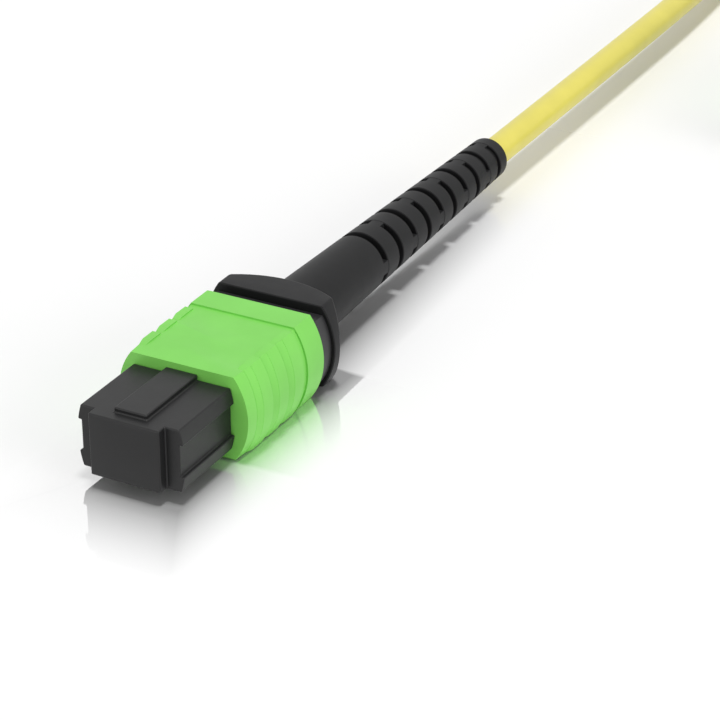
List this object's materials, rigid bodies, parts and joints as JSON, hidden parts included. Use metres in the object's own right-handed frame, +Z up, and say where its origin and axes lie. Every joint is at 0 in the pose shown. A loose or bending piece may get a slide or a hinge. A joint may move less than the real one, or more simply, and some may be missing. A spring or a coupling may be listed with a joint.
{
  "type": "fibre connector on a patch lead",
  "caption": "Multi-fibre push-pull connector with a green sprung sleeve, dust cap and slotted boot, on a yellow patch cable with the same connector at its far end",
  "frame": {"origin": "middle of the connector's footprint on the surface that it lies on, halfway between the cap's face and the boot's end", "axes": "+Y along the connector from the cap to the cable, +X to the right seen from the front, +Z up"},
  "size_m": [0.0364, 0.1935, 0.008],
  "materials": {
    "cap_black": "moulded, fine gloss with soft reflections",
    "housing_black": "moulded, satin",
    "sleeve_green": "light green moulded plastic, satin gloss",
    "ferrule_grey": "filled resin, ground face",
    "fibre_glass": "polished fibre ends",
    "ribbon_clear": "clear coated ribbon",
    "boot_soft": "soft rubber",
    "spring_steel": "drawn wire",
    "crimp_metal": "plated, crimped",
    "yarn_yellow": "aramid yarn",
    "boot_black": "moulded elastomer, satin",
    "cable_yellow": "smooth cable jacket, satin",
    "tie_black": "woven hook-and-loop strap"
  },
  "bodies": {
    "connector": {"inner_housing": "housing_black", "ferrule_spring": "spring_steel", "sleeve_spring_left": "spring_steel", "sleeve_spring_right": "spring_steel", "spring_push": "housing_black", "aramid_yarn": "yarn_yellow", "crimp_ring": "crimp_metal", "strain_relief_boot": "boot_black", "far_inner_housing": "housing_black", "far_ferrule_spring": "spring_steel", "far_sleeve_spring_left": "spring_steel", "far_sleeve_spring_right": "spring_steel", "far_spring_push": "housing_black", "far_aramid_yarn": "yarn_yellow", "far_crimp_ring": "crimp_metal", "far_strain_relief_boot": "boot_black", "cable_lead": "cable_yellow", "cable_coil": "cable_yellow", "cable_tail": "cable_yellow", "coil_tie_left": "tie_black", "coil_tie_right": "tie_black"},
    "cap": {"dust_cap": "cap_black"},
    "sleeve": {"coupling_sleeve": "sleeve_green"},
    "ferrule": {"mt_ferrule": "ferrule_grey", "fibres": "fibre_glass", "fibre_ribbon": "ribbon_clear", "ferrule_boot": "boot_soft", "pin_keeper": "spring_steel"},
    "far_cap": {"far_dust_cap": "cap_black"},
    "far_sleeve": {"far_coupling_sleeve": "sleeve_green"},
    "far_ferrule": {"far_mt_ferrule": "ferrule_grey", "far_fibres": "fibre_glass", "far_fibre_ribbon": "ribbon_clear", "far_ferrule_boot": "boot_soft", "far_pin_keeper": "spring_steel"}
  },
  "joints": [
    {"name": "cap_pull", "type": "slide", "parent": "connector", "child": "cap", "axis": [0, -1, 0], "range_m": [0, 0.012]},
    {"name": "sleeve_slide", "type": "slide", "parent": "connector", "child": "sleeve", "axis": [0, 1, 0], "range_m": [0, 0.0019], "stiffness_N_per_m": 600, "springref_m": -0.001, "deforming": ["sleeve_spring_left", "sleeve_spring_right"]},
    {"name": "ferrule_float", "type": "slide", "parent": "connector", "child": "ferrule", "axis": [0, 1, 0], "range_m": [0, 0.0008], "stiffness_N_per_m": 800, "springref_m": -0.001, "deforming": ["ferrule_spring"]},
    {"name": "far_cap_pull", "type": "slide", "parent": "connector", "child": "far_cap", "axis": [0, -1, 0], "range_m": [0, 0.012]},
    {"name": "far_sleeve_slide", "type": "slide", "parent": "connector", "child": "far_sleeve", "axis": [0, 1, 0], "range_m": [0, 0.0019], "stiffness_N_per_m": 600, "springref_m": -0.001, "deforming": ["far_sleeve_spring_left", "far_sleeve_spring_right"]},
    {"name": "far_ferrule_float", "type": "slide", "parent": "connector", "child": "far_ferrule", "axis": [0, 1, 0], "range_m": [0, 0.0008], "stiffness_N_per_m": 800, "springref_m": -0.001, "deforming": ["far_ferrule_spring"]}
  ]
}
